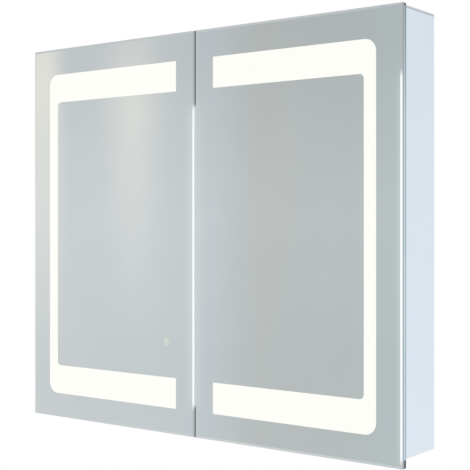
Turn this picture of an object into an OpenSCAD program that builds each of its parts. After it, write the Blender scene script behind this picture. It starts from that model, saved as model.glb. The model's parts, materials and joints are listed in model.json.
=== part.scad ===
// Two-door mirrored medicine cabinet with lit frosted bands in the door mirrors.
// Frame: +X right as seen from the front, the front faces -Y, +Z up.
// Origin: centre of the body's back face, on the wall plane. Millimetres.
// Side frame used for doors and hinges: x inward from the body's outer face,
// y forward from the body's front edge, z up from the body's mid height.

/* [Doors] */
// Width across both closed doors
doors_w = 800; // [780:1:820]
// Height of each door
door_h = 700; // [690:1:720]
// Gap between the closed doors
meeting_gap = 2; // [2:0.5:3]
// Front mirror glass thickness
front_glass = 4; // [4:0.1:4.4]
// Thickness of the middle layer that holds the lighting
core_t = 4; // [4:0.1:4.4]
// Rear mirror glass thickness
rear_glass = 4; // [4:0.1:4.4]
// Width of the polished bevel round the front glass
bevel_w = 4; // [2:0.5:5]
// Depth of that bevel at the glass edge
bevel_d = 1.2; // [0.6:0.1:1.6]
// How far the doors hang below the body, as a finger pull
finger_pull = 12.6; // [10:0.1:14]

/* [Lit band] */
// Outer side of the band's upright, from the door's outer edge
band_margin = 43; // [42:0.5:48]
// Width of the band's upright
band_leg = 21.5; // [18:0.5:26]
// Distance from the meeting edge to the end of the bars
band_end = 41; // [36:0.5:50]
// Height of the top and bottom bars
band_bar = 53; // [46:0.5:58]
// Distance from the door's top to the top bar
band_top = 48.6; // [44:0.1:54]
// Distance from the door's bottom to the bottom bar
band_bottom = 44.7; // [40:0.1:50]

/* [Body] */
// Height of the body
body_h = 686; // [676:1:696]
// How far each door passes the body's side
side_inset = 3; // [2.8:0.1:3.2]
// Depth of the body, wall to front edge
body_d = 97; // [95:0.5:110]
// Thickness of the side and bottom panels
panel_t = 14; // [13.8:0.1:14.2]
// Thickness of the top cover plate
cover_t = 3; // [2:0.5:3]
// Thickness of the back panel
back_t = 4; // [3:0.5:4]
// Clear gap between the body's front and the closed doors
front_gap = 2; // [2:0.1:2.4]
// Height of the electrics compartment under the top cover
bay_h = 60; // [58:1:70]

/* [Shelves] */
// Number of glass shelves
shelf_n = 3; // [1:1:3]
// Glass shelf thickness
shelf_t = 6; // [5:0.5:6]

/* [Wall fixing] */
// Distance between the wall holes, side to side
fix_x = 640; // [600:10:680]
// Distance between the wall holes, up and down
fix_z = 500; // [480:10:520]
// Radius of the wall holes
fix_r = 3.5; // [3:0.5:4]

/* [Hidden] */
$fn = 48;
body_w = doors_w - 2 * side_inset;
door_w = (doors_w - meeting_gap) / 2;
zb = -body_h / 2;
zt = body_h / 2;
dz0 = zb - finger_pull;
dz1 = dz0 + door_h;
dx0 = -side_inset;
dx1 = dx0 + door_w;
y_rear = front_gap;
y_core = y_rear + rear_glass;
y_front = y_core + core_t;
y_face = y_front + front_glass;
in_w = body_w - 2 * panel_t;
bay_z = zt - cover_t - bay_h;
shelf_pitch = (bay_z - (zb + panel_t)) / (shelf_n + 1);
// shelf heights fall on the rows of peg holes, one hole every 32 mm up and down from row_z
row_z = -28;
shelf_z = [for (i = [1:shelf_n])
    row_z + 32 * round((zb + panel_t + i * shelf_pitch - shelf_t / 2 - row_z) / 32)];
shelf_y0 = -body_d + 8;
shelf_y1 = -back_t - 2;
peg_y = [shelf_y0 + 12, shelf_y1 - 12];
peg_r = 2.5;
// hinges: heights, arm pivot and door pivot in the side frame
hinge_z = [-245, 225];
ax = 24;
ay = -3.2;
cx = 6.5;
cy = 4.8;
pin_r = 1.1;
run = 0.05;
lead_r = 1.3;
lead_z = hinge_z[1] + 11.2;
sensor_x = dx1 - 62.5;
sensor_z = dz0 + 161;
// screws that hold the terminal block to the tray
block_x = [205, 217];
sides = [-1, 1];

// ---------------------------------------------------------------- helpers
module box(a, b) {
    translate(a) cube([b[0] - a[0], b[1] - a[1], b[2] - a[2]]);
}

// places a piece drawn in the side frame on the left (-1) or right (1) side
module on_side(s) {
    if (s > 0)
        translate([body_w / 2, -body_d, 0]) rotate([0, 0, 180]) children();
    else
        translate([-body_w / 2, -body_d, 0]) mirror([0, 1, 0]) children();
}

module rod(p, q, r) {
    d = [q[0] - p[0], q[1] - p[1], q[2] - p[2]];
    l = norm(d);
    translate(p)
        rotate([0, acos(d[2] / l), (d[0] == 0 && d[1] == 0) ? 0 : atan2(d[1], d[0])])
            cylinder(h = l, r = r);
}

// round wire through a list of points
module wire(pts, r) {
    for (i = [0:len(pts) - 2]) rod(pts[i], pts[i + 1], r);
    if (len(pts) > 2) for (i = [1:len(pts) - 2]) translate(pts[i]) sphere(r = r + 0.12);
}

// glass plate in the side frame with a bevel on its front (1) or rear (-1) edges
module bevel_plate(x0, x1, z0, z1, ya, yb, b, d, dir) {
    yf = dir > 0 ? yb : ya;
    yk = dir > 0 ? ya : yb;
    ys = dir > 0 ? yb - d : ya + d;
    intersection() {
        translate([0, 0, z0]) linear_extrude(z1 - z0)
            polygon([[x0, yk], [x1, yk], [x1, ys], [x1 - b, yf], [x0 + b, yf], [x0, ys]]);
        translate([x0, 0, 0]) rotate([90, 0, 90]) linear_extrude(x1 - x0)
            polygon([[yk, z0], [yk, z1], [ys, z1], [yf, z1 - b], [yf, z0 + b], [ys, z0]]);
    }
}

// the bracket shape of the lit band, grown by g all round, from ya to yb
module band_solid(g, ya, yb) {
    x0 = dx0 + band_margin - g;
    x1 = dx1 - band_end + g;
    xi = dx0 + band_margin + band_leg + g;
    z0 = dz0 + band_bottom - g;
    z1 = dz1 - band_top + g;
    zi0 = dz0 + band_bottom + band_bar + g;
    zi1 = dz1 - band_top - band_bar - g;
    ro = 20 + g;
    ri = 8 - g;
    difference() {
        union() {
            box([x0 + ro, ya, z0], [x1, yb, z1]);
            box([x0, ya, z0 + ro], [x0 + ro + 1, yb, z1 - ro]);
            for (z = [z0 + ro, z1 - ro])
                translate([x0 + ro, yb, z]) rotate([90, 0, 0]) cylinder(h = yb - ya, r = ro);
        }
        difference() {
            box([xi, ya - 1, zi0], [x1 + 5, yb + 1, zi1]);
            for (z = [zi0, zi1])
                translate([xi, 0, z]) difference() {
                    box([-1, ya - 2, -ri], [ri, yb + 2, ri]);
                    for (w = [-1, 1])
                        translate([ri, yb + 3, w * ri]) rotate([90, 0, 0])
                            cylinder(h = yb - ya + 6, r = ri);
                }
        }
    }
}

module screw(head_r, head_h, r, l) {
    // head on +Z side of the origin, shank down -Z, cross slot in the head
    difference() {
        cylinder(h = head_h, r = head_r);
        for (a = [0, 90]) rotate([0, 0, a])
            translate([-head_r * 0.55, -0.4, head_h * 0.45]) cube([head_r * 1.1, 0.8, head_h]);
    }
    translate([0, 0, -l]) cylinder(h = l + 0.01, r = r);
}

// ---------------------------------------------------------------- body
// cam fittings that draw the side panels onto the bottom panel, unseen from the sides
cam_pts = [for (y = [-20, -70]) [y, zb + panel_t / 2]];
cam_in = 24;
cover_pts = [for (x = [-body_w / 2 + panel_t / 2, body_w / 2 - panel_t / 2]) for (y = [-16, -81]) [x, y]];

module side_panel(s) {
    difference() {
        on_side(s) box([0, -body_d, zb], [panel_t, 0, zt - cover_t]);
        // shadow line under the cover plate
        on_side(s) box([-1, -body_d - 1, zt - cover_t - 0.7], [1.2, 1, zt - cover_t + 1]);
        on_side(s) {
            // rows of shelf peg holes
            for (y = peg_y) for (k = [-6:6])
                translate([panel_t - 9, -body_d - y, row_z + k * 32 - peg_r]) rotate([0, 90, 0])
                    cylinder(h = 20, r = peg_r + run);
            // cam bolts, blind from the inner face
            for (p = cam_pts) translate([panel_t - 9.5, -body_d - p[0], p[1]])
                rotate([0, 90, 0]) cylinder(h = 12, r = 3.05);
            // hinge plate screws
            for (h = hinge_z) for (w = [-1, 1])
                translate([panel_t - 11, -37, h + w * 21]) rotate([0, 90, 0])
                    cylinder(h = 12, r = 1.95);
            // tray flange screws
            for (y = [-30, -70]) translate([panel_t - 10, -body_d - y, bay_z + 12])
                rotate([0, 90, 0]) cylinder(h = 12, r = 1.55);
        }
        // cover screws
        for (p = cover_pts) translate([p[0], p[1], zt - cover_t - 14]) cylinder(h = 16, r = 1.95);
    }
}

module side_panel_left() color([0.90, 0.92, 0.94]) side_panel(-1);
module side_panel_right() color([0.90, 0.92, 0.94]) side_panel(1);

module bottom_panel() color([0.90, 0.92, 0.94]) difference() {
    box([-in_w / 2, -body_d, zb], [in_w / 2, 0, zb + panel_t]);
    for (s = sides) on_side(s) for (p = cam_pts) {
        translate([panel_t - 1, -body_d - p[0], p[1]]) rotate([0, 90, 0]) cylinder(h = cam_in + 1, r = 3.1);
        translate([panel_t + cam_in, -body_d - p[0], zb - 1]) cylinder(h = 13, r = 7.5);
    }
    // sockets for the bumper stems
    for (x = [-40, 40]) translate([x, -body_d - 1, zb + panel_t / 2]) rotate([-90, 0, 0])
        cylinder(h = 7, r = 2.05);
}

module back_panel() color([0.86, 0.88, 0.90]) difference() {
    box([-in_w / 2, -back_t, zb + panel_t], [in_w / 2, 0, zt - cover_t]);
    for (x = [-1, 1]) for (z = [-1, 1]) translate([x * fix_x / 2, 1, z * fix_z / 2])
        rotate([90, 0, 0]) cylinder(h = back_t + 2, r = fix_r);
    // cord entry, held open by the grommet
    translate([250, 1, bay_z + 32]) rotate([90, 0, 0]) cylinder(h = back_t + 2, r = 8.05);
}

module top_cover() color([0.88, 0.90, 0.93]) difference() {
    box([-body_w / 2, -body_d, zt - cover_t], [body_w / 2, 0, zt]);
    for (p = cover_pts) translate([p[0], p[1], zt - cover_t - 1]) {
        cylinder(h = cover_t + 2, r = 2.05);
        translate([0, 0, 1 + cover_t - 1.85]) cylinder(h = 3, r = 3.75);
    }
}

// folded sheet: floor, front apron, rear lip and end flanges
module electrics_tray() color([0.84, 0.86, 0.88]) difference() {
    union() {
        box([-in_w / 2 + 0.2, -body_d, bay_z], [in_w / 2 - 0.2, -back_t - 0.2, bay_z + 2]);
        box([-in_w / 2 + 0.2, -body_d, bay_z], [in_w / 2 - 0.2, -body_d + 2, zt - cover_t - 0.2]);
        box([-in_w / 2 + 0.2, -back_t - 2.2, bay_z], [in_w / 2 - 0.2, -back_t - 0.2, bay_z + 14]);
        for (s = sides) on_side(s)
            box([panel_t + 0.2, -body_d + back_t + 0.2, bay_z], [panel_t + 2.2, 0, bay_z + 22]);
    }
    for (s = sides) on_side(s) {
        for (y = [-30, -70]) translate([panel_t - 1, -body_d - y, bay_z + 12])
            rotate([0, 90, 0]) cylinder(h = 6, r = 1.75);
        // lead holes above the upper hinge arms
        translate([panel_t + 10, -48, bay_z - 1]) cylinder(h = 4, r = 3.5);
    }
    for (x = [-78, 78]) translate([x, -50, bay_z - 1]) cylinder(h = 4, r = 1.75);
    for (x = block_x) translate([x, -50, bay_z - 1]) cylinder(h = 4, r = 1.45);
    for (x = [-40, 40]) translate([x, -body_d - 1, zt - cover_t - 12]) rotate([-90, 0, 0])
        cylinder(h = 4, r = 2.05);
}

module cam_bolts() color([0.75, 0.76, 0.78])
    for (s = sides) on_side(s) for (p = cam_pts)
        translate([panel_t - 9, -body_d - p[0], p[1]]) rotate([0, 90, 0]) cylinder(h = 10 + cam_in, r = 3);

module cam_locks() color([0.75, 0.76, 0.78])
    for (s = sides) on_side(s) for (p = cam_pts)
        translate([panel_t + cam_in, -body_d - p[0], zb]) difference() {
            cylinder(h = 11.95, r = 7.45);
            // bore for the bolt's end
            translate([-9, 0, panel_t / 2]) rotate([0, 90, 0]) cylinder(h = 12, r = 3.05);
            // cross slot in the face
            for (a = [0, 90]) rotate([0, 0, a]) translate([-3.5, -0.6, -1]) cube([7, 1.2, 3]);
        }

module cover_screws() color([0.75, 0.76, 0.78])
    for (p = cover_pts) translate([p[0], p[1], zt - 1.8]) screw(3.7, 1.7, 1.9, 14);

module tray_screws() color([0.75, 0.76, 0.78])
    for (s = sides) on_side(s) for (y = [-30, -70])
        translate([panel_t + 2.2, -body_d - y, bay_z + 12]) rotate([0, 90, 0]) screw(3, 1.8, 1.5, 11);

module led_driver() color([0.93, 0.93, 0.91]) difference() {
    union() {
        box([-70, -66, bay_z + 2], [70, -34, bay_z + 24]);
        for (s = [-1, 1]) box([s * 78 - 9, -57, bay_z + 2], [s * 78 + 9, -43, bay_z + 4.5]);
        // stepped lid
        box([-66, -62, bay_z + 24], [66, -38, bay_z + 26]);
    }
    for (x = [-78, 78]) translate([x, -50, bay_z]) cylinder(h = 6, r = 1.75);
    // wire entries
    for (y = [-52, -48]) translate([71, y, bay_z + 14]) rotate([0, -90, 0]) cylinder(h = 7, r = 1.55);
    for (y = [-55, -45]) translate([-71, y, bay_z + 14]) rotate([0, 90, 0]) cylinder(h = 7, r = 1.55);
}

module driver_screws() color([0.75, 0.76, 0.78])
    for (x = [-78, 78]) translate([x, -50, bay_z + 4.5]) screw(3, 1.8, 1.7, 6);

module terminal_block() color([0.95, 0.95, 0.93]) difference() {
    box([192, -58, bay_z + 2], [230, -42, bay_z + 18]);
    for (i = [0:2]) translate([199 + i * 12, -50, bay_z + 10]) {
        cylinder(h = 10, r = 2.4);
        translate([0, 9, 0]) rotate([90, 0, 0]) cylinder(h = 18, r = 1.55);
    }
    // bores and head recesses for the fixing screws
    for (x = block_x) translate([x, -50, bay_z]) {
        cylinder(h = 20, r = 1.45);
        translate([0, 0, 16]) cylinder(h = 3, r = 2.3);
    }
}

module block_screws() color([0.75, 0.76, 0.78])
    for (x = block_x) translate([x, -50, bay_z + 16]) screw(2.25, 1.4, 1.4, 15.6);

module terminal_screws() color([0.80, 0.70, 0.40])
    for (i = [0:2]) translate([199 + i * 12, -50, bay_z + 12]) difference() {
        cylinder(h = 3.4, r = 2.3);
        translate([-1.8, -0.35, 2.4]) cube([3.6, 0.7, 2]);
    }

module cord_grommet() color([0.12, 0.12, 0.13]) difference() {
    translate([250, 0, bay_z + 32]) rotate([90, 0, 0]) {
        cylinder(h = back_t, r = 8);
        translate([0, 0, back_t]) cylinder(h = 2, r = 10.5);
    }
    translate([250, 1, bay_z + 32]) rotate([90, 0, 0]) cylinder(h = back_t + 5, r = 4.2);
}

module supply_leads() color([0.45, 0.33, 0.22])
    for (i = [0:1])
        wire([[199 + i * 12, -59.5, bay_z + 10], [199 + i * 12, -70 - 4 * i, bay_z + 10],
              [86 + 5 * i, -70 - 4 * i, bay_z + 10], [86 + 5 * i, -70 - 4 * i, bay_z + 14],
              [86 + 5 * i, -52 + 4 * i, bay_z + 14], [71.5, -52 + 4 * i, bay_z + 14]], 1.4);

// low-voltage leads from the driver to the top of each upper arm pivot
module lead_body_left() color([0.20, 0.20, 0.22]) {
    x = -body_w / 2 + ax;
    wire([[-66, -55, bay_z + 14], [-100, -55, bay_z + 14], [-100, -55, bay_z + 6],
          [-100, -49, bay_z + 6], [x, -49, bay_z + 6], [x, -49, lead_z + 6],
          [x, -body_d - ay, lead_z + 6], [x, -body_d - ay, lead_z + 2]], lead_r);
}

module lead_body_right() color([0.20, 0.20, 0.22]) {
    x = body_w / 2 - ax;
    wire([[-66, -45, bay_z + 14], [-90, -45, bay_z + 14], [-90, -26, bay_z + 14], [-90, -26, bay_z + 6],
          [186, -26, bay_z + 6], [186, -84, bay_z + 6], [x, -84, bay_z + 6], [x, -49, bay_z + 6],
          [x, -49, lead_z + 6], [x, -body_d - ay, lead_z + 6], [x, -body_d - ay, lead_z + 2]], lead_r);
}

// part of each lead that turns with the upper link, from one pivot's axis to the other's
module lead_link(s) color([0.20, 0.20, 0.22]) on_side(s)
    wire([[ax, ay, lead_z + 1.9], [ax, ay, lead_z], [ax, cy, lead_z],
          [cx, cy, lead_z], [cx, cy, lead_z + 1.9]], lead_r);

// part of each lead inside the door, from the door pivot's axis to the ribbon
module lead_door(s) color([0.20, 0.20, 0.22]) on_side(s)
    wire([[cx, cy, lead_z + 2], [cx, cy, lead_z + 8]], lead_r);

module shelf(i) color([0.80, 0.90, 0.88, 0.5])
    if (i < shelf_n)
        box([-in_w / 2 + 1.5, shelf_y0, shelf_z[i]], [in_w / 2 - 1.5, shelf_y1, shelf_z[i] + shelf_t]);
module shelf_lower() shelf(0);
module shelf_middle() shelf(1);
module shelf_upper() shelf(2);

module shelf_pegs() color([0.78, 0.79, 0.80])
    for (s = sides) on_side(s) for (z = shelf_z) for (y = peg_y)
        translate([panel_t - 8.5, -body_d - y, z - peg_r]) rotate([0, 90, 0]) {
            cylinder(h = 20, r = peg_r);
            translate([0, 0, 8.5]) cylinder(h = 1.2, r = peg_r);
        }

// ---------------------------------------------------------------- hinges
module hinge_plates() color([0.74, 0.75, 0.77])
    for (s = sides) on_side(s) for (h = hinge_z) translate([0, 0, h]) difference() {
        union() {
            box([panel_t, -60, -6], [panel_t + 4.4, -22, 6]);
            box([panel_t, -43, -27], [panel_t + 2.4, -31, 27]);
        }
        for (w = [-1, 1]) translate([panel_t - 1, -37, w * 21]) rotate([0, 90, 0])
            cylinder(h = 6, r = 2);
        for (y = [-50, -28]) translate([panel_t + 0.6, y, 0]) rotate([0, 90, 0])
            cylinder(h = 6, r = 1.95);
    }

module plate_screws() color([0.80, 0.80, 0.82])
    for (s = sides) on_side(s) for (h = hinge_z) for (w = [-1, 1])
        translate([panel_t + 2.4, -37, h + w * 21]) rotate([0, 90, 0]) screw(3.6, 2.2, 1.9, 13);

module hinge_arms() color([0.78, 0.79, 0.81])
    for (s = sides) on_side(s) for (h = hinge_z) translate([0, 0, h]) difference() {
        union() {
            for (z = [-7.8, 6.3]) translate([0, 0, z]) linear_extrude(1.5)
                polygon([[panel_t + 2.7, -60], [panel_t + 2.7, -26], [panel_t + 6.8, -10],
                         [panel_t + 6.8, -2.6], [panel_t + 8.4, -1], [panel_t + 11.4, -1],
                         [panel_t + 13, -2.6], [panel_t + 13, -60]]);
            box([panel_t + 11.5, -60, -7], [panel_t + 13, -8, 7]);
        }
        translate([ax, ay, -9]) cylinder(h = 18, r = pin_r + 0.02);
        for (y = [-50, -28]) translate([panel_t + 10, y, 0]) rotate([0, 90, 0])
            cylinder(h = 6, r = 2);
    }

module arm_screws() color([0.80, 0.80, 0.82])
    for (s = sides) on_side(s) for (h = hinge_z) for (y = [-50, -28])
        translate([panel_t + 13, y, h]) rotate([0, 90, 0]) screw(3.4, 2, 1.9, 12);

module arm_pins() color([0.62, 0.63, 0.65])
    for (s = sides) on_side(s) for (h = hinge_z)
        translate([ax, ay, h - 8.3]) cylinder(h = 16.6, r = pin_r);

// cranked link between the arm pivot and the door pivot
module link() {
    difference() {
        translate([0, 0, -5.9]) linear_extrude(11.8) union() {
            translate([ax, ay]) circle(r = 2.3);
            translate([cx, cy]) circle(r = 2.2);
            polygon([[cx, cy - 1.6], [cx, cy + 1.6], [ax - 0.6, cy + 1.9], [ax + 1.3, cy + 0.2],
                     [ax + 1.7, ay], [ax - 1.7, ay], [ax - 2.4, cy - 1.9], [ax - 3.2, cy - 1.5]]);
        }
        for (p = [[ax, ay], [cx, cy]]) translate([p[0], p[1], -7]) cylinder(h = 14, r = pin_r + run);
        // the web is opened between the two ears at the door pivot
        box([cx - 4, cy - 4, -2.6], [cx + 6, cy + 4, 2.6]);
    }
}

module links_left() color([0.70, 0.71, 0.73])
    on_side(-1) for (h = hinge_z) translate([0, 0, h]) link();
module links_right() color([0.70, 0.71, 0.73])
    on_side(1) for (h = hinge_z) translate([0, 0, h]) link();

module door_bumpers() color([0.85, 0.86, 0.86])
    for (x = [-40, 40]) for (z = [zb + panel_t / 2, zt - cover_t - 12])
        translate([x, -body_d, z]) rotate([90, 0, 0]) {
            cylinder(h = 1.8, r = 4.5);
            translate([0, 0, -1.9]) cylinder(h = 2, r = 2);
        }

// ---------------------------------------------------------------- doors
// hollow for one hinge cup, in the side frame
module cup_void(c) {
    for (h = hinge_z) box([0.4 - c, y_rear - 2, h - 9 - c], [31 + c, y_rear + 6.6 + c, h + 9 + c]);
    // pocket for the lead above the upper cup
    box([1.6, y_rear - 2, hinge_z[1] + 8], [31 + c, y_rear + 6, lead_z + 2]);
    box([cx - 2, cy - 2, hinge_z[1] + 8], [cx + 2, cy + 2.2, lead_z + 9]);
}

module cup_screw_holes() {
    for (h = hinge_z) for (w = [-1, 1]) translate([24, y_rear - 1, h + w * 19])
        rotate([-90, 0, 0]) cylinder(h = 8.05, r = 1.75);
}

module front_mirror(s) color([0.80, 0.84, 0.86]) on_side(s)
    bevel_plate(dx0, dx1, dz0, dz1, y_front, y_face, bevel_w, bevel_d, 1);

module rear_mirror(s) color([0.74, 0.80, 0.82]) on_side(s) difference() {
    bevel_plate(dx0, dx1, dz0, dz1, y_rear, y_core, 0.8, 0.8, -1);
    cup_void(0.05);
    cup_screw_holes();
}

module edge_frame(s) color([0.80, 0.90, 0.92]) on_side(s) difference() {
    box([dx0 + 0.2, y_core, dz0 + 0.2], [dx1 - 0.2, y_front, dz1 - 0.2]);
    box([dx0 + 8, y_core - 1, dz0 + 8], [dx1 - 8, y_front + 1, dz1 - 8]);
    cup_void(0.05);
    ribbon_space(s);
}

module tape_slot(g) {
    xo = dx0 + band_margin - 3;
    box([xo - 3 - g, y_core - 1, dz0 + band_bottom + 24 - g],
        [xo + 0.1, y_front + 1, dz1 - band_top - 24 + g]);
}

module light_guide(s) color([0.97, 0.98, 0.96]) on_side(s)
    band_solid(3, y_core + 1, y_front);

module led_tape(s) color([0.95, 0.95, 0.90]) on_side(s)
    box([dx0 + band_margin - 6, y_core + 0.3, dz0 + band_bottom + 24],
        [dx0 + band_margin - 5, y_front - 0.1, dz1 - band_top - 24]);

module led_chips(s) color([0.98, 0.92, 0.60]) on_side(s) {
    z0 = dz0 + band_bottom + 32;
    z1 = dz1 - band_top - 32;
    n = floor((z1 - z0) / 16.6);
    for (i = [0:n]) box([dx0 + band_margin - 5, y_core + 0.8, z0 + i * (z1 - z0) / n - 1.75],
                        [dx0 + band_margin - 3.4, y_front - 0.6, z0 + i * (z1 - z0) / n + 1.75]);
}

// flat ribbon behind the light guide, from the hinge side to the tape and the sensor
module ribbon(s) color([0.92, 0.92, 0.90]) on_side(s) {
    xt = dx0 + band_margin - 5.5;
    box([xt - 2.6, y_core + 0.02, sensor_z - 3],
        [(s < 0 ? sensor_x - 12 : xt + 12), y_core + 0.28, sensor_z + 3]);
    box([xt - 2.6, y_core + 0.02, sensor_z + 3], [xt + 1.5, y_core + 0.28, lead_z + 15]);
    box([cx - 2, y_core + 0.02, lead_z + 9.5], [xt + 1.5, y_core + 0.28, lead_z + 15]);
}

module ribbon_space(s) {
    xt = dx0 + band_margin - 5.5;
    box([xt - 4.5, y_core - 1, sensor_z - 3.5],
        [(s < 0 ? sensor_x - 11 : xt + 12.5), y_core + 1, sensor_z + 3.5]);
    box([xt - 4.5, y_core - 1, sensor_z + 3], [xt + 2, y_core + 1, lead_z + 15.5]);
    box([cx - 2.5, y_core - 1, lead_z + 9], [xt + 2, y_core + 1, lead_z + 15.5]);
}

module core_board(s) color([0.96, 0.96, 0.95]) on_side(s) difference() {
    box([dx0 + 8.2, y_core, dz0 + 8.2], [dx1 - 8.2, y_front, dz1 - 8.2]);
    band_solid(3.1, y_core + 0.9, y_front + 1);
    tape_slot(0.3);
    cup_void(0.05);
    cup_screw_holes();
    ribbon_space(s);
    if (s < 0) box([sensor_x - 15, y_core - 1, sensor_z - 15], [sensor_x + 15, y_front + 1, sensor_z + 15]);
}

module touch_sensor() color([0.15, 0.42, 0.25]) on_side(-1) {
    box([sensor_x - 14, y_front - 1.4, sensor_z - 14], [sensor_x + 14, y_front - 0.1, sensor_z + 14]);
    // sensing pad's shield, controller chip and connector on the rear of the board
    box([sensor_x - 5, y_core + 1.2, sensor_z - 5], [sensor_x + 5, y_front - 1.4, sensor_z + 5]);
    box([sensor_x - 13, y_core + 0.8, sensor_z - 4], [sensor_x - 8, y_front - 1.4, sensor_z + 4]);
}

// cup sunk in the door's rear with a flange and two screws
module hinge_cups(s) color([0.76, 0.77, 0.79]) on_side(s)
    for (h = hinge_z) translate([0, 0, h]) difference() {
        union() {
            box([0.4, y_rear, -9], [31, y_rear + 6.6, 9]);
            box([16, y_rear - 1, -26], [33, y_rear, 26]);
        }
        box([1.2, y_rear - 2, -8.2], [30.2, y_rear + 5.8, 8.2]);
        // notch in the flange beside the cup, where the lead swings
        box([15, y_rear - 2, 9.3], [28.5, y_rear + 1, 13]);
        translate([cx, cy, -10]) cylinder(h = 20, r = pin_r + 0.02);
        for (w = [-1, 1]) translate([24, y_rear - 2, w * 19]) rotate([-90, 0, 0])
            cylinder(h = 4, r = 1.75);
    }

module cup_screws(s) color([0.80, 0.80, 0.82]) on_side(s)
    for (h = hinge_z) for (w = [-1, 1]) translate([24, y_rear - 1, h + w * 19])
        rotate([90, 0, 0]) screw(3.2, 1.6, 1.7, 7.6);

module cup_pins(s) color([0.62, 0.63, 0.65]) on_side(s)
    for (h = hinge_z) translate([cx, cy, h - 8.8]) cylinder(h = 17.6, r = pin_r);

module front_mirror_left() front_mirror(-1);
module front_mirror_right() front_mirror(1);
module light_guide_left() light_guide(-1);
module light_guide_right() light_guide(1);
module led_tape_left() led_tape(-1);
module led_tape_right() led_tape(1);
module led_chips_left() led_chips(-1);
module led_chips_right() led_chips(1);
module core_board_left() core_board(-1);
module core_board_right() core_board(1);
module edge_frame_left() edge_frame(-1);
module edge_frame_right() edge_frame(1);
module rear_mirror_left() rear_mirror(-1);
module rear_mirror_right() rear_mirror(1);
module hinge_cups_left() hinge_cups(-1);
module hinge_cups_right() hinge_cups(1);
module cup_screws_left() cup_screws(-1);
module cup_screws_right() cup_screws(1);
module cup_pins_left() cup_pins(-1);
module cup_pins_right() cup_pins(1);
module lead_link_left() lead_link(-1);
module lead_link_right() lead_link(1);
module lead_door_left() lead_door(-1);
module lead_door_right() lead_door(1);
module ribbon_left() ribbon(-1);
module ribbon_right() ribbon(1);

side_panel_left();
side_panel_right();
bottom_panel();
back_panel();
top_cover();
electrics_tray();
cam_bolts();
cam_locks();
cover_screws();
tray_screws();
led_driver();
driver_screws();
terminal_block();
block_screws();
terminal_screws();
cord_grommet();
supply_leads();
lead_body_left();
lead_body_right();
lead_link_left();
lead_link_right();
lead_door_left();
lead_door_right();
shelf_upper();
shelf_middle();
shelf_lower();
shelf_pegs();
hinge_plates();
plate_screws();
hinge_arms();
arm_screws();
arm_pins();
door_bumpers();
links_left();
links_right();
front_mirror_left();
light_guide_left();
led_tape_left();
led_chips_left();
core_board_left();
edge_frame_left();
rear_mirror_left();
hinge_cups_left();
cup_screws_left();
cup_pins_left();
ribbon_left();
touch_sensor();
front_mirror_right();
light_guide_right();
led_tape_right();
led_chips_right();
core_board_right();
edge_frame_right();
rear_mirror_right();
hinge_cups_right();
cup_screws_right();
cup_pins_right();
ribbon_right();
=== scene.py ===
import bpy, bmesh, math, json
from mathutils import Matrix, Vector
from mathutils.geometry import delaunay_2d_cdt


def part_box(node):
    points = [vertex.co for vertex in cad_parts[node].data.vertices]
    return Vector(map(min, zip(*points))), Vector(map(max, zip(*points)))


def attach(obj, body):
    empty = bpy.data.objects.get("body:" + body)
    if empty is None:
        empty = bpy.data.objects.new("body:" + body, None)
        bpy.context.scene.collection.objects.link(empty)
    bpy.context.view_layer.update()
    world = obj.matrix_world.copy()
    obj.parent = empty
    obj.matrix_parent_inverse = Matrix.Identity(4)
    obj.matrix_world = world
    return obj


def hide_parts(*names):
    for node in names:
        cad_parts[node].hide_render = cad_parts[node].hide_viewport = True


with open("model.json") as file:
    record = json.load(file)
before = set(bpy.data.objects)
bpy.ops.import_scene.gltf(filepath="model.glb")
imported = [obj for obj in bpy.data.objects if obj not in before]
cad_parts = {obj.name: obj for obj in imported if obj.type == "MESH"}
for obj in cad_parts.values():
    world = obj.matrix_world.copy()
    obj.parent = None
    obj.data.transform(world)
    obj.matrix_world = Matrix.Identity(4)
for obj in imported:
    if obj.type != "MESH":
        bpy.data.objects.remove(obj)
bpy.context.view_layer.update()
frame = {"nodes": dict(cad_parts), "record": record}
nodes = frame["nodes"]
record = frame["record"]
scene = bpy.context.scene

# ------------------------------------------------------------------ reference places
MIRROR_L, MIRROR_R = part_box("front_mirror_left"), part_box("front_mirror_right")
Y_FACE = MIRROR_R[0].y
DOOR_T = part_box("rear_mirror_right")[1].y - Y_FACE
DOOR_Z0, DOOR_Z1 = MIRROR_R[0].z, MIRROR_R[1].z
BODY_Z0, BODY_Z1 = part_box("side_panel_left")[0].z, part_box("top_cover")[1].z

# the lit band, measured from a door's outer edge, its meeting edge, its bottom and its top
BAND_MARGIN, BAND_LEG, BAND_END = 0.043, 0.0215, 0.041
BAND_BOTTOM, BAND_TOP = 0.0449, 0.0489
BAND_LOW_BAR, BAND_HIGH_BAR = 0.0533, 0.0528
BAND_OUTER_R, BAND_INNER_R = 0.020, 0.008
# the right door's band stands this much nearer the meeting edge
BAND_SHIFT_RIGHT = 0.002
BEVEL_W = 0.004
# the touch mark, measured from the left door's meeting edge and bottom
SENSOR_IN, SENSOR_UP, SENSOR_R = 0.0625, 0.161, 0.0085
FLOOR_DROP, FLOOR_R = 1.5, 3.1

# ------------------------------------------------------------------ camera
# lens and place from the photograph's two vanishing points; the shift keeps the uprights parallel
cam_data = bpy.data.cameras.new("camera")
cam_data.lens, cam_data.sensor_width = 82.23, 36.0
cam_data.shift_y = -0.02824
cam_data.clip_start, cam_data.clip_end = 0.05, 60.0
cam = bpy.data.objects.new("camera", cam_data)
scene.collection.objects.link(cam)
cam.location = (1.1632, Y_FACE - 1.4352, DOOR_Z0 + 0.3711)
cam.rotation_euler = (math.radians(90), 0, math.radians(36.872))
scene.camera = cam


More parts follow.
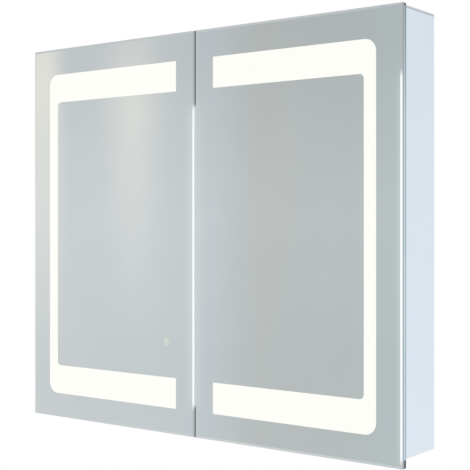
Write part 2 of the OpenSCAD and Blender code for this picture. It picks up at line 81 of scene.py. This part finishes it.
# ------------------------------------------------------------------ node helpers
def tree(name):
    m = bpy.data.materials.new(name)
    m.use_nodes = True
    nt = m.node_tree
    nt.nodes.clear()
    out = nt.nodes.new("ShaderNodeOutputMaterial")
    p = nt.nodes.new("ShaderNodeBsdfPrincipled")
    nt.links.new(p.outputs[0], out.inputs[0])
    return m, nt, p


def math_node(nt, op, a, b=None, c=None, clamp=False):
    n = nt.nodes.new("ShaderNodeMath")
    n.operation = op
    n.use_clamp = clamp
    for i, v in enumerate((a, b, c)):
        if v is None:
            continue
        if isinstance(v, (int, float)):
            n.inputs[i].default_value = v
        else:
            nt.links.new(v, n.inputs[i])
    return n.outputs[0]


def mapped(nt, value, a, b, c, d, smooth=False):
    n = nt.nodes.new("ShaderNodeMapRange")
    if smooth:
        n.interpolation_type = "SMOOTHSTEP"
    nt.links.new(value, n.inputs[0])
    for i, v in zip((1, 2, 3, 4), (a, b, c, d)):
        n.inputs[i].default_value = v
    return n.outputs[0]


def noise(nt, scale, detail=3.0, stretch=(1, 1, 1), rough=0.55):
    tc = nt.nodes.new("ShaderNodeTexCoord")
    mp = nt.nodes.new("ShaderNodeMapping")
    mp.inputs["Scale"].default_value = stretch
    nt.links.new(tc.outputs["Object"], mp.inputs[0])
    n = nt.nodes.new("ShaderNodeTexNoise")
    n.inputs["Scale"].default_value = scale
    n.inputs["Detail"].default_value = detail
    n.inputs["Roughness"].default_value = rough
    nt.links.new(mp.outputs[0], n.inputs[0])
    return n.outputs[0]


def ramp(nt, value, stops):
    r = nt.nodes.new("ShaderNodeValToRGB")
    e = r.color_ramp.elements
    e[0].position, e[0].color = stops[0][0], (*stops[0][1], 1)
    e[1].position, e[1].color = stops[-1][0], (*stops[-1][1], 1)
    for pos, col in stops[1:-1]:
        k = e.new(pos)
        k.color = (*col, 1)
    nt.links.new(value, r.inputs[0])
    return r.outputs[0]


def bump(nt, p, height, strength, distance):
    b = nt.nodes.new("ShaderNodeBump")
    b.inputs["Strength"].default_value = strength
    b.inputs["Distance"].default_value = distance
    nt.links.new(height, b.inputs["Height"])
    nt.links.new(b.outputs[0], p.inputs["Normal"])


def shade(c, k):
    return tuple(min(1.0, x * k) for x in c)


def surface(name, base, rough=(0.35, 0.5), metal=0.0, var=0.04, scale=30, stretch=(1, 1, 1),
            grain=600, grain_d=0.00004, grain_s=0.25, coat=0.0, coat_rough=0.1, spec=None):
    """A finish with slow colour drift, uneven gloss and a fine surface grain."""
    m, nt, p = tree(name)
    slow = noise(nt, scale, 4.0, stretch)
    nt.links.new(ramp(nt, slow, [(0.3, shade(base, 1 - var)), (0.5, base), (0.72, shade(base, 1 + var))]),
                 p.inputs["Base Color"])
    fine = noise(nt, grain, 3.0, stretch)
    nt.links.new(mapped(nt, noise(nt, scale * 4, 4.0, stretch), 0.3, 0.7, rough[0], rough[1]),
                 p.inputs["Roughness"])
    p.inputs["Metallic"].default_value = metal
    p.inputs["Coat Weight"].default_value = coat
    p.inputs["Coat Roughness"].default_value = coat_rough
    if spec is not None:
        p.inputs["Specular IOR Level"].default_value = spec
    bump(nt, p, fine, grain_s, grain_d)
    return m


# ------------------------------------------------------------------ materials
def mirror_material(name, tint):
    m, nt, p = tree(name)
    haze = noise(nt, 9, 5.0)
    nt.links.new(ramp(nt, haze, [(0.3, shade(tint, 0.985)), (0.7, shade(tint, 1.01))]),
                 p.inputs["Base Color"])
    nt.links.new(mapped(nt, noise(nt, 14, 6.0), 0.35, 0.75, 0.015, 0.035), p.inputs["Roughness"])
    p.inputs["Metallic"].default_value = 1.0
    bump(nt, p, noise(nt, 2.5, 2.0), 0.02, 0.0002)
    return m


def lit_material(name):
    """Etched glass with the light on behind it: even, very slightly mottled by the etching."""
    m, nt, p = tree(name)
    etch = noise(nt, 900, 2.0)
    nt.links.new(ramp(nt, etch, [(0.3, (0.035, 0.035, 0.034)), (0.7, (0.045, 0.045, 0.044))]),
                 p.inputs["Base Color"])
    nt.links.new(ramp(nt, noise(nt, 25, 3.0), [(0.25, (0.935, 0.935, 0.88)), (0.75, (0.945, 0.945, 0.89))]),
                 p.inputs["Emission Color"])
    p.inputs["Emission Strength"].default_value = 1.0
    nt.links.new(mapped(nt, etch, 0.3, 0.7, 0.45, 0.6), p.inputs["Roughness"])
    bump(nt, p, etch, 0.15, 0.00003)
    return m


def edge_glass(name, base):
    """Ground and polished glass edge: long faint draw lines and a wet gloss."""
    m, nt, p = tree(name)
    lines = noise(nt, 60, 4.0, (1, 1, 0.05))
    nt.links.new(ramp(nt, lines, [(0.3, shade(base, 0.95)), (0.55, base), (0.75, shade(base, 1.06))]),
                 p.inputs["Base Color"])
    nt.links.new(mapped(nt, noise(nt, 220, 3.0, (1, 1, 0.1)), 0.3, 0.7, 0.14, 0.24), p.inputs["Roughness"])
    p.inputs["Specular IOR Level"].default_value = 0.35
    bump(nt, p, noise(nt, 500, 2.0, (1, 1, 0.04)), 0.2, 0.00003)
    return m


def mix(nt, f, a, b, blend="MIX"):
    k = nt.nodes.new("ShaderNodeMix")
    k.data_type = "RGBA"
    k.blend_type = blend
    for i, v in ((0, f), (6, a), (7, b)):
        if isinstance(v, (int, float)):
            k.inputs[i].default_value = v
        elif isinstance(v, tuple):
            k.inputs[i].default_value = (*v, 1)
        else:
            nt.links.new(v, k.inputs[i])
    return k.outputs[2]


def door_edge(name):
    """The glued glass sandwich seen edge on: grey-blue front glass, a pale layer whose paleness is painted
    light from the pale body shining through the glass, dark teal rear glass.
    """
    m, nt, p = tree(name)
    tc = nt.nodes.new("ShaderNodeTexCoord")
    sep = nt.nodes.new("ShaderNodeSeparateXYZ")
    nt.links.new(tc.outputs["Object"], sep.inputs[0])
    x, y, z = sep.outputs[0], sep.outputs[1], sep.outputs[2]
    depth = mapped(nt, y, Y_FACE, Y_FACE + DOOR_T, 0.0, 1.0)
    # the three layers from the front, and the same layers near the top, where less light reaches them
    lit = ramp(nt, depth, [
        (0.0, (0.27, 0.29, 0.34)), (0.15, (0.30, 0.33, 0.38)),
        (0.2, (0.40, 0.445, 0.50)), (0.46, (0.41, 0.455, 0.51)),
        (0.49, (0.72, 0.86, 0.90)), (0.74, (0.72, 0.86, 0.90)),
        (0.77, (0.12, 0.25, 0.26)), (1.0, (0.11, 0.23, 0.24))])
    top = ramp(nt, depth, [
        (0.0, (0.24, 0.26, 0.31)), (0.2, (0.33, 0.375, 0.42)), (0.46, (0.33, 0.375, 0.42)),
        (0.49, (0.45, 0.56, 0.61)), (0.74, (0.45, 0.56, 0.61)),
        (0.77, (0.02, 0.05, 0.055)), (1.0, (0.02, 0.045, 0.05))])
    col = mix(nt, mapped(nt, z, DOOR_Z1 - 0.19, DOOR_Z1 - 0.01, 0.0, 1.0, True), lit, top)
    # nothing pale stands behind the glass above and below the body, so it goes dark there
    ends = math_node(nt, "MAXIMUM", mapped(nt, z, BODY_Z0 - 0.001, BODY_Z0 + 0.001, 1.0, 0.0, True),
                     mapped(nt, z, BODY_Z1 - 0.003, BODY_Z1 - 0.001, 0.0, 1.0, True))
    ends = math_node(nt, "MULTIPLY", ends, mapped(nt, depth, 0.36, 0.5, 0.0, 1.0, True))
    geo = nt.nodes.new("ShaderNodeNewGeometry")
    nz = nt.nodes.new("ShaderNodeSeparateXYZ")
    nt.links.new(geo.outputs["True Normal"], nz.inputs[0])
    upright = mapped(nt, math_node(nt, "ABSOLUTE", nz.outputs[2]), 0.3, 0.6, 1.0, 0.0)
    ends = math_node(nt, "MULTIPLY", ends, upright)
    col = mix(nt, ends, col, (0.06, 0.07, 0.078))
    # the closed meeting edges: dark in the gap, except where the strip light in front reaches in
    ao = nt.nodes.new("ShaderNodeAmbientOcclusion")
    ao.inputs["Distance"].default_value = 0.004
    gap = math_node(nt, "MULTIPLY", mapped(nt, math_node(nt, "ABSOLUTE", x), 0.02, 0.03, 1.0, 0.0),
                    mapped(nt, ao.outputs["AO"], 0.75, 0.95, 1.0, 0.0))
    reach = math_node(nt, "MULTIPLY", mapped(nt, z, DOOR_Z0 + 0.050, DOOR_Z0 + 0.055, 0.0, 1.0, True),
                      mapped(nt, z, DOOR_Z1 - 0.131, DOOR_Z1 - 0.126, 1.0, 0.0, True))
    col = mix(nt, gap, col, mix(nt, reach, (0.055, 0.07, 0.078), (0.68, 0.71, 0.73)))
    glow = math_node(nt, "MULTIPLY", gap, reach)
    nt.links.new(mix(nt, glow, (0.0, 0.0, 0.0), (0.27, 0.275, 0.28)), p.inputs["Emission Color"])
    p.inputs["Emission Strength"].default_value = 1.0
    lines = noise(nt, 60, 4.0, (1, 1, 0.05))
    col = mix(nt, 1.0, col, ramp(nt, lines, [(0.3, (0.92, 0.92, 0.92)), (0.7, (1.0, 1.0, 1.0))]), "MULTIPLY")
    nt.links.new(col, p.inputs["Base Color"])
    nt.links.new(mapped(nt, noise(nt, 220, 3.0, (1, 1, 0.1)), 0.3, 0.7, 0.16, 0.3), p.inputs["Roughness"])
    p.inputs["Specular IOR Level"].default_value = 0.25
    bump(nt, p, noise(nt, 500, 2.0, (1, 1, 0.04)), 0.2, 0.00003)
    return m


def sensor_material(name, cx, cz):
    """Etched touch mark: a soft pale disc, a little greener in the middle."""
    m, nt, p = tree(name)
    tc = nt.nodes.new("ShaderNodeTexCoord")
    sep = nt.nodes.new("ShaderNodeSeparateXYZ")
    nt.links.new(tc.outputs["Object"], sep.inputs[0])
    ax = math_node(nt, "SUBTRACT", sep.outputs[0], cx)
    az = math_node(nt, "SUBTRACT", sep.outputs[2], cz)
    square = math_node(nt, "ADD", math_node(nt, "MULTIPLY", ax, ax), math_node(nt, "MULTIPLY", az, az))
    f = mapped(nt, math_node(nt, "SQRT", square), 0.0, SENSOR_R, 0.0, 1.0)
    disc = ramp(nt, f, [(0.0, (0.79, 0.86, 0.73)), (0.4, (0.85, 0.90, 0.78)),
                        (0.75, (0.82, 0.87, 0.78)), (1.0, (0.70, 0.745, 0.74))])
    nt.links.new(disc, p.inputs["Base Color"])
    etch = noise(nt, 1500, 2.0)
    nt.links.new(mapped(nt, etch, 0.3, 0.7, 0.5, 0.62), p.inputs["Roughness"])
    bump(nt, p, etch, 0.15, 0.00002)
    return m


def clear_glass(name, tint, rough=0.02):
    m, nt, p = tree(name)
    nt.links.new(ramp(nt, noise(nt, 12, 3.0), [(0.3, shade(tint, 0.985)), (0.7, shade(tint, 1.005))]),
                 p.inputs["Base Color"])
    nt.links.new(mapped(nt, noise(nt, 30, 4.0), 0.3, 0.7, rough, rough + 0.03), p.inputs["Roughness"])
    p.inputs["Transmission Weight"].default_value = 1.0
    p.inputs["IOR"].default_value = 1.46
    return m


MIRROR = mirror_material("silvered_mirror", (0.93, 0.95, 0.95))
MIRROR_REAR = mirror_material("silvered_mirror_rear", (0.86, 0.90, 0.90))
BEVEL = mirror_material("silvered_bevel", (0.97, 0.98, 0.985))
LIT = lit_material("etched_lit_band")
EDGE = door_edge("door_edge")
ARRIS = edge_glass("glass_arris", (0.30, 0.34, 0.38))
SHELF_EDGE = edge_glass("shelf_edge", (0.18, 0.42, 0.36))
SHELF_GLASS = clear_glass("shelf_glass", (0.90, 0.97, 0.95))
SENSOR_MARK = sensor_material("sensor_mark", MIRROR_L[1].x - SENSOR_IN, DOOR_Z0 + SENSOR_UP)

BOARD = (0.745, 0.81, 0.875)
slots = {
    "body_board": surface("body_board", BOARD, (0.34, 0.46), var=0.012, scale=5, grain=420,
                          grain_d=0.00006, grain_s=0.3, coat=0.15, coat_rough=0.3),
    "cover_paint": surface("cover_paint", (0.57, 0.60, 0.65), (0.38, 0.5), var=0.015, scale=7, grain=500,
                           grain_d=0.00005, grain_s=0.35, coat=0.1, coat_rough=0.35),
    "tray_paint": surface("tray_paint", (0.74, 0.78, 0.82), (0.38, 0.52), var=0.015, scale=8, grain=500,
                          grain_d=0.00005, grain_s=0.35, coat=0.1, coat_rough=0.35),
    "screw_zinc": surface("screw_zinc", (0.62, 0.63, 0.64), (0.28, 0.45), 1.0, 0.06, 150, grain=900,
                          grain_d=0.00002),
    "white_plastic": surface("white_plastic", (0.80, 0.80, 0.77), (0.42, 0.56), var=0.015, scale=20,
                             grain=1100, grain_d=0.00004, grain_s=0.4),
    "brass": surface("brass", (0.72, 0.55, 0.26), (0.25, 0.42), 1.0, 0.06, 120, grain=900),
    "black_rubber": surface("black_rubber", (0.028, 0.028, 0.030), (0.55, 0.75), var=0.12, scale=90,
                            grain=900, grain_d=0.00005, grain_s=0.5),
    "lead_sheath": surface("lead_sheath", (0.045, 0.045, 0.05), (0.36, 0.5), var=0.08, scale=60, grain=700,
                           grain_d=0.00003),
    "chrome": surface("chrome", (0.80, 0.81, 0.82), (0.05, 0.12), 1.0, 0.02, 80, grain=900, grain_d=0.00001),
    "hinge_nickel": surface("hinge_nickel", (0.64, 0.635, 0.62), (0.25, 0.31), 1.0, 0.02, 40, (1, 1, 0.3),
                            grain=900, grain_d=0.00001, grain_s=0.15),
    "pin_steel": surface("pin_steel", (0.52, 0.53, 0.54), (0.2, 0.34), 1.0, 0.04, 120, grain=900),
    "clear_rubber": surface("clear_rubber", (0.70, 0.74, 0.74), (0.3, 0.42), var=0.03, scale=90, grain=900,
                            coat=0.2),
    "light_guide": surface("light_guide", (0.90, 0.91, 0.88), (0.25, 0.38), var=0.015, scale=40, grain=1400),
    "tape_board": surface("tape_board", (0.84, 0.84, 0.78), (0.4, 0.5), var=0.02, scale=200, grain=1500),
    "led_chips": surface("led_chips", (0.90, 0.78, 0.28), (0.3, 0.45), var=0.08, scale=500, grain=1800),
    "white_board": surface("white_board", (0.86, 0.86, 0.85), (0.55, 0.7), var=0.02, scale=30, grain=900,
                           grain_d=0.00008, grain_s=0.5),
    "edge_strip": EDGE,
    "ribbon_white": surface("ribbon_white", (0.80, 0.80, 0.77), (0.4, 0.5), var=0.04, scale=160,
                            stretch=(1, 1, 0.1), grain=1200),
    "circuit_board": surface("circuit_board", (0.035, 0.20, 0.09), (0.25, 0.4), var=0.15, scale=260,
                             grain=1500, coat=0.4),
}

for sub in record["subparts"]:
    o = nodes[sub["node"]]
    m = slots.get(sub["material_slot"])
    if m is not None:
        o.data.materials.clear()
        o.data.materials.append(m)


# ------------------------------------------------------------------ mesh helpers
def piece(name, bm, mats, body, replaces=()):
    bmesh.ops.recalc_face_normals(bm, faces=bm.faces)
    me = bpy.data.meshes.new(name)
    bm.to_mesh(me)
    bm.free()
    for m in mats:
        me.materials.append(m)
    o = bpy.data.objects.new(name, me)
    scene.collection.objects.link(o)
    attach(o, body)
    if replaces:
        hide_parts(*replaces)
    return o


def arc(cx, cy, r, a0, a1, n):
    return [(cx + r * math.cos(math.radians(a0 + (a1 - a0) * i / n)),
             cy + r * math.sin(math.radians(a0 + (a1 - a0) * i / n))) for i in range(n + 1)]


def band_outline(w, z0, z1, shift):
    """The lit bracket in (distance from the outer edge, z)."""
    ue, u0 = w - BAND_END + shift, BAND_MARGIN + shift
    ui = u0 + BAND_LEG
    a, b = z0 + BAND_BOTTOM, z1 - BAND_TOP
    ai, bi = a + BAND_LOW_BAR, b - BAND_HIGH_BAR
    ro, ri = BAND_OUTER_R, BAND_INNER_R
    pts = [(ue, a), (ue, ai)]
    pts += arc(ui + ri, ai + ri, ri, 270, 180, 8)
    pts += arc(ui + ri, bi - ri, ri, 180, 90, 8)
    pts += [(ue, bi), (ue, b)]
    pts += arc(u0 + ro, b - ro, ro, 90, 180, 14)
    pts += arc(u0 + ro, a + ro, ro, 180, 270, 14)
    return pts


def inside(p, poly):
    x, y = p
    r = False
    for i in range(len(poly)):
        x1, y1 = poly[i - 1]
        x2, y2 = poly[i]
        if (y1 > y) != (y2 > y) and x < (x2 - x1) * (y - y1) / (y2 - y1) + x1:
            r = not r
    return r


def front_mirror(side, body):
    lo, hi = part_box("front_mirror_" + side)
    left = side == "left"
    w = hi.x - lo.x
    to_x = (lambda u: lo.x + u) if left else (lambda u: hi.x - u)
    bw = BEVEL_W
    shift = 0.0 if left else BAND_SHIFT_RIGHT
    band = [(to_x(u), z) for u, z in band_outline(w, lo.z, hi.z, shift)]
    loops = [band]
    if left:
        c = (to_x(w - SENSOR_IN), lo.z + SENSOR_UP)
        loops.append(arc(c[0], c[1], SENSOR_R, 0, 360 - 7.5, 47))
    rect = [(lo.x + bw, lo.z + bw), (hi.x - bw, lo.z + bw), (hi.x - bw, hi.z - bw), (lo.x + bw, hi.z - bw)]
    verts, edges = [], []
    for loop in [rect] + loops:
        k = len(verts)
        verts += [Vector(p) for p in loop]
        edges += [(k + i, k + (i + 1) % len(loop)) for i in range(len(loop))]
    vo, _, fo, *_ = delaunay_2d_cdt(verts, edges, [], 0, 1e-6)
    bm = bmesh.new()
    bv = [bm.verts.new((v.x, lo.y, v.y)) for v in vo]
    for f in fo:
        cx = sum(vo[i].x for i in f) / len(f)
        cz = sum(vo[i].y for i in f) / len(f)
        face = bm.faces.new([bv[i] for i in f])
        face.material_index = 0
        if inside((cx, cz), band):
            face.material_index = 1
        elif left:
            if math.hypot(cx - c[0], cz - c[1]) < SENSOR_R:
                face.material_index = 5
    # bevel, arrises and ground side down to the back
    corner = []
    for p in rect:
        best = min(range(len(vo)), key=lambda i: (vo[i].x - p[0]) ** 2 + (vo[i].y - p[1]) ** 2)
        corner.append(bv[best])
    ring = corner
    for inset, y, mat in ((0.0003, lo.y + 0.00115, 2), (0.0, lo.y + 0.0015, 3), (0.0, hi.y - 0.0004, 4),
                          (0.0004, hi.y, 3)):
        xs = (lo.x + inset, hi.x - inset, hi.x - inset, lo.x + inset)
        zs = (lo.z + inset, lo.z + inset, hi.z - inset, hi.z - inset)
        new = [bm.verts.new((xs[i], y, zs[i])) for i in range(4)]
        for i in range(4):
            f = bm.faces.new((ring[i], ring[(i + 1) % 4], new[(i + 1) % 4], new[i]))
            f.material_index = mat
        ring = new
    bm.faces.new(ring).material_index = 6
    mats = [MIRROR, LIT, BEVEL, ARRIS, EDGE, SENSOR_MARK, slots["white_board"]]
    return piece("mirror_front_" + side, bm, mats, body, ["front_mirror_" + side])


def rear_mirror(side, body):
    src = nodes["rear_mirror_" + side]
    bm = bmesh.new()
    bm.from_mesh(src.data)
    bmesh.ops.remove_doubles(bm, verts=bm.verts, dist=1e-6)
    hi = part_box("rear_mirror_" + side)[1]
    bm.normal_update()
    for f in bm.faces:
        n = f.normal
        f.smooth = False
        f.material_index = 0 if n.y > 0.95 and f.calc_center_median().y > hi.y - 0.0003 else 1
        if 0.3 < n.y < 0.9:
            f.material_index = 2
    return piece("mirror_rear_" + side, bm, [MIRROR_REAR, EDGE, ARRIS], body,
                 ["rear_mirror_" + side])


def shelf(name):
    """A glass plate with rounded corners and small ground arrises round both faces."""
    lo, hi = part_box(name)
    rc, ra = 0.004, 0.0008
    turns = [math.radians(a) for a in (0, 30, 60, 90)]
    levels = [(ra * (1 - math.sin(t)), ra * (1 - math.cos(t))) for t in turns]
    levels = [(i, lo.z + h) for i, h in levels] + [(i, hi.z - h) for i, h in reversed(levels)]
    bm = bmesh.new()
    rings = []
    for inset, z in levels:
        q = rc - inset
        pts = []
        for px, py, a in ((hi.x - rc, hi.y - rc, 0), (lo.x + rc, hi.y - rc, 90),
                          (lo.x + rc, lo.y + rc, 180), (hi.x - rc, lo.y + rc, 270)):
            pts += arc(px, py, q, a, a + 90, 8)
        rings.append([bm.verts.new((x, y, z)) for x, y in pts])
    for a, b in zip(rings, rings[1:]):
        for i in range(len(a)):
            bm.faces.new((a[i - 1], a[i], b[i], b[i - 1])).material_index = 1
    bm.faces.new(rings[0])
    bm.faces.new(rings[-1])
    return piece("glass_" + name, bm, [SHELF_GLASS, SHELF_EDGE], "cabinet", [name])


for side, body in (("left", "door_left"), ("right", "door_right")):
    front_mirror(side, body)
    rear_mirror(side, body)
for n in ("shelf_upper", "shelf_middle", "shelf_lower"):
    if n in nodes:
        shelf(n)

# ------------------------------------------------------------------ floor
bm = bmesh.new()
bmesh.ops.create_circle(bm, cap_ends=True, radius=FLOOR_R, segments=128)
for v in bm.verts:
    v.co.z = DOOR_Z0 - FLOOR_DROP
me = bpy.data.meshes.new("floor")
bm.to_mesh(me)
bm.free()
floor = bpy.data.objects.new("floor", me)
scene.collection.objects.link(floor)
m, nt, p = tree("floor_paint")
nt.links.new(ramp(nt, noise(nt, 3, 4.0), [(0.3, (0.94, 0.945, 0.95)), (0.7, (0.955, 0.96, 0.965))]),
             p.inputs["Base Color"])
nt.links.new(mapped(nt, noise(nt, 60, 3.0), 0.3, 0.7, 0.6, 0.75), p.inputs["Roughness"])
bump(nt, p, noise(nt, 200, 3.0), 0.1, 0.0004)
p.inputs["Emission Color"].default_value = (1, 1, 1, 1)
p.inputs["Emission Strength"].default_value = 0.12
# the floor thins out into the white background towards its rim
tc = nt.nodes.new("ShaderNodeTexCoord")
ln = nt.nodes.new("ShaderNodeVectorMath")
ln.operation = "LENGTH"
mp = nt.nodes.new("ShaderNodeMapping")
mp.inputs["Scale"].default_value = (1, 1, 0)
nt.links.new(tc.outputs["Object"], mp.inputs[0])
nt.links.new(mp.outputs[0], ln.inputs[0])
nt.links.new(mapped(nt, ln.outputs["Value"], 0.9, 3.0, 1.0, 0.0, True), p.inputs["Alpha"])
me.materials.append(m)
floor.visible_glossy = False

# ------------------------------------------------------------------ studio surroundings
world = bpy.data.worlds.new("studio")
scene.world = world
world.use_nodes = True
nt = world.node_tree
nt.nodes.clear()
tc = nt.nodes.new("ShaderNodeTexCoord")
sep = nt.nodes.new("ShaderNodeSeparateXYZ")
nt.links.new(tc.outputs["Generated"], sep.inputs[0])
dx, dy, dz = sep.outputs[0], sep.outputs[1], sep.outputs[2]
# phi: angle round from straight in front of the doors towards the viewer's left, degrees
phi = math_node(nt, "MULTIPLY", math_node(nt, "ARCTAN2", math_node(nt, "MULTIPLY", dx, -1.0),
                                         math_node(nt, "MULTIPLY", dy, -1.0)), 57.29578)
phi = math_node(nt, "ADD", phi, 0.1)
el = math_node(nt, "MULTIPLY", math_node(nt, "ARCSINE", dz), 57.29578)


def at(deg):
    return (deg + 60.0) / 160.0


wall = ramp(nt, mapped(nt, phi, -60, 100, 0, 1), [
    (0.0, (0.62, 0.64, 0.66)), (at(-30), (0.54, 0.56, 0.57)), (at(10), (0.50, 0.53, 0.535)),
    (at(27.5), (0.505, 0.555, 0.565)), (at(29.5), (0.505, 0.55, 0.56)), (at(31), (0.505, 0.54, 0.535)),
    (at(36), (0.525, 0.545, 0.54)), (at(38.2), (0.565, 0.61, 0.63)),
    (at(41), (0.60, 0.635, 0.65)), (at(45.5), (0.62, 0.645, 0.655)), (at(48.5), (0.635, 0.66, 0.665)),
    (at(58), (0.60, 0.635, 0.645)), (at(72), (0.56, 0.60, 0.615)), (at(81), (0.66, 0.68, 0.67)),
    (at(90), (0.76, 0.775, 0.79)), (1.0, (0.84, 0.855, 0.87))])


def bell(value, centre, width):
    d = math_node(nt, "DIVIDE", math_node(nt, "SUBTRACT", value, centre), width)
    return math_node(nt, "EXPONENT", math_node(nt, "MULTIPLY", math_node(nt, "MULTIPLY", d, d), -1.0))


def between(value, lo, hi, soft):
    return math_node(nt, "MULTIPLY", mapped(nt, value, lo - soft, lo + soft, 0, 1, True),
                     mapped(nt, value, hi - soft, hi + soft, 1, 0, True))


def add_light(base, amount, colour):
    return mix(nt, 1.0, base, mix(nt, amount, (0.0, 0.0, 0.0), colour), "ADD")


def rise(lo, hi, *stops):
    """A smooth amount against height above the horizon, from (degrees, amount) pairs."""
    return ramp(nt, mapped(nt, el, lo, hi, 0, 1), [((e - lo) / (hi - lo), (a, a, a)) for e, a in stops])


# a soft far lamp seen in the left mirror, brightest high up and gone low down
lamp_height = rise(-8, 12, (-8, 0.0), (-5, 0.08), (0, 0.36), (3.2, 0.62), (5.9, 1.0), (7.3, 0.9),
                   (9.2, 0.55), (12, 0.4))
lamp = math_node(nt, "MULTIPLY", bell(phi, 42.4, 1.25), lamp_height)
level = between(el, -18, 15, 4)
light = add_light(wall, math_node(nt, "MULTIPLY", lamp, level), (0.165, 0.13, 0.09))
# paler wall at the far left, fading downwards
pale = math_node(nt, "MULTIPLY", mapped(nt, phi, 45.7, 47.0, 0, 1, True), mapped(nt, phi, 55, 75, 1, 0, True))
pale = math_node(nt, "MULTIPLY", pale, level)
pale_height = rise(-8, 12, (-8, 0.0), (-4.2, 0.15), (-0.5, 0.36), (3.7, 0.6), (7.1, 1.0),
                   (9.2, 0.95), (12, 0.9))
light = add_light(light, math_node(nt, "MULTIPLY", pale, pale_height), (0.215, 0.18, 0.115))
# darker towards the ceiling and the floor
fall = ramp(nt, mapped(nt, el, -12, 12, 0, 1), [
    (0.0, (0.985, 0.985, 0.99)), (0.2, (0.985, 0.985, 0.99)), (0.325, (1.01, 1.01, 1.01)),
    (0.5, (1.035, 1.03, 1.03)), (0.654, (1.0, 0.995, 0.995)), (0.771, (0.95, 0.95, 0.95)),
    (0.896, (0.907, 0.905, 0.91)), (1.0, (0.885, 0.885, 0.89))])
light = mix(nt, 1.0, light, fall, "MULTIPLY")
# two upright strip lights in front, which the polished bevels pick up, and two thin glows in the mirrors:
# direction round, lowest and highest direction up, width, softness of the ends, colour
for c, lo, hi, width, soft, colour in ((-5.2, -12.5, 7.8, 1.7, 0.25, (0.75, 0.76, 0.76)),
                                       (5.8, -9.8, 6.1, 1.7, 0.25, (0.75, 0.76, 0.76)),
                                       (39.18, -9.8, 6.1, 0.33, 0.8, (0.085, 0.08, 0.075)),
                                       (28.24, -12.5, 7.8, 0.16, 0.8, (0.05, 0.07, 0.06))):
    strip = math_node(nt, "MULTIPLY", bell(phi, c, width), between(el, lo, hi, soft))
    light = add_light(light, strip, colour)
# everything round the sides, above, below and behind is the bright studio
around = math_node(nt, "MAXIMUM", mapped(nt, math_node(nt, "ABSOLUTE", phi), 86, 115, 0, 1, True),
                   mapped(nt, math_node(nt, "ABSOLUTE", el), 52, 72, 0, 1, True))
studio = mix(nt, around, light, (0.88, 0.89, 0.91))
# the plain white seen directly behind the object
lp = nt.nodes.new("ShaderNodeLightPath")
seen = mix(nt, lp.outputs["Is Camera Ray"], studio, (1.0, 1.0, 1.0))
bg = nt.nodes.new("ShaderNodeBackground")
nt.links.new(seen, bg.inputs[0])
out = nt.nodes.new("ShaderNodeOutputWorld")
nt.links.new(bg.outputs[0], out.inputs[0])


def area(name, loc, size, power, target, colour=(1, 1, 1)):
    d = bpy.data.lights.new(name, "AREA")
    d.shape, d.size, d.size_y = "RECTANGLE", size[0], size[1]
    d.energy, d.color = power, colour
    o = bpy.data.objects.new(name, d)
    o.location = loc
    o.rotation_euler = (Vector(target) - Vector(loc)).to_track_quat("-Z", "Y").to_euler()
    o.visible_glossy = False
    scene.collection.objects.link(o)
    return o


area("key", (-1.6, -2.6, 1.9), (1.6, 1.6), 22, (0, -0.05, 0))
area("fill", (2.7, -1.0, -1.0), (1.4, 1.6), 20, (0.3, 0, -0.1), (0.95, 0.985, 1.0))

scene.view_settings.view_transform = "Standard"
scene.view_settings.look = "None"
scene.view_settings.exposure = 0.0
scene.view_settings.gamma = 1.0
